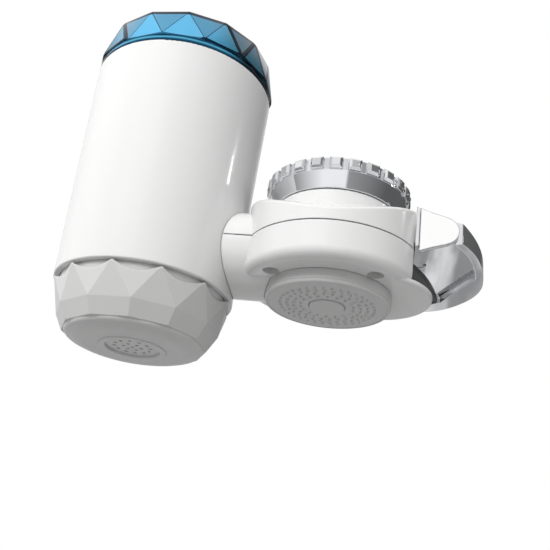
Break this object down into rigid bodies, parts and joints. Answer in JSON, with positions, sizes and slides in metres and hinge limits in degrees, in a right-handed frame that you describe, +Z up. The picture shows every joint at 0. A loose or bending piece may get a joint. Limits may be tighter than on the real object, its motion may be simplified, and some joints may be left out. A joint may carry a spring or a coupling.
{
  "type": "tap-mounted water filter",
  "caption": "Tap-mounted drinking-water filter: diverter valve with knurled tap nut, lever and spray head, carrying an upright barrel with a filter cartridge, crystal cap and faceted base.",
  "frame": {"origin": "centre of the spout seat: the top face of the adapter's flange, on the valve drum's axis", "axes": "+Z up along the tap thread, +X from the filter barrel to the lever, -Y towards the user"},
  "size_m": [0.1598, 0.0728, 0.1266],
  "materials": {
    "white_gloss": "glossy moulded",
    "white_satin": "satin moulded",
    "crystal_blue": "tinted translucent, polished facets",
    "chrome": "mirror plated metal",
    "black_plastic": "matte moulded",
    "black_rubber": "matte",
    "steel": "satin",
    "ceramic": "porous, unglazed",
    "carbon": "sintered block"
  },
  "bodies": {
    "valve_body": {"upper_shell": "white_gloss", "lower_shell": "white_gloss", "shell_screws": "steel", "inlet_neck": "white_gloss", "inlet_seal": "black_rubber", "inlet_screen": "steel", "tap_gasket": "black_rubber", "adapter": "chrome", "valve_housing": "white_satin", "spool_gland": "white_satin", "spray_head": "white_satin", "spray_seal": "black_rubber", "spray_plate": "white_satin", "badge": "white_gloss", "barrel": "white_gloss", "transfer_tube": "white_satin", "transfer_seals": "black_rubber"},
    "collar": {"collar": "chrome"},
    "lever": {"spool": "white_satin", "spool_seals": "black_rubber", "lever": "chrome", "lever_pad": "black_plastic", "lever_cover": "white_gloss", "lever_screw": "steel"},
    "top_seal": {"top_cap_seal": "black_rubber"},
    "top_cap": {"top_cap": "crystal_blue", "cap_liner": "white_satin"},
    "bottom_seal": {"bottom_cap_seal": "black_rubber"},
    "bottom_cap": {"bottom_cap": "white_satin", "outlet_ring": "white_satin", "outlet_plate": "white_satin"},
    "cartridge": {"cartridge_base": "white_satin", "cartridge_seal": "black_rubber", "ceramic_shell": "ceramic", "carbon_core": "carbon", "cartridge_grip": "white_satin"}
  },
  "joints": [
    {"name": "lever_turn", "type": "hinge", "parent": "valve_body", "child": "lever", "pos_m": [0, 0, -0.018], "axis": [1, 0, 0], "range_deg": [0, 90]},
    {"name": "collar_turn", "type": "hinge", "parent": "valve_body", "child": "collar", "pos_m": [0, 0, 0], "axis": [0, 0, 1], "continuous": true},
    {"name": "cap_lift", "type": "slide", "parent": "valve_body", "child": "top_seal", "axis": [0, 0, 1], "range_m": [0, 0.2]},
    {"name": "cap_turn", "type": "hinge", "parent": "top_seal", "child": "top_cap", "pos_m": [-0.068, 0, 0.04], "axis": [0, 0, 1], "continuous": true},
    {"name": "cartridge_lift", "type": "slide", "parent": "valve_body", "child": "cartridge", "axis": [0, 0, 1], "range_m": [0, 0.1]},
    {"name": "bottom_lower", "type": "slide", "parent": "valve_body", "child": "bottom_seal", "axis": [0, 0, -1], "range_m": [0, 0.0045]},
    {"name": "bottom_turn", "type": "hinge", "parent": "bottom_seal", "child": "bottom_cap", "pos_m": [-0.068, 0, -0.04], "axis": [0, 0, -1], "range_deg": [0, 540]}
  ],
  "couplings": [
    {"joint": "cartridge_lift", "follows": "cap_lift", "ratio": 0.5},
    {"joint": "bottom_lower", "follows": "bottom_turn", "m_per_rad": 0.000477}
  ]
}
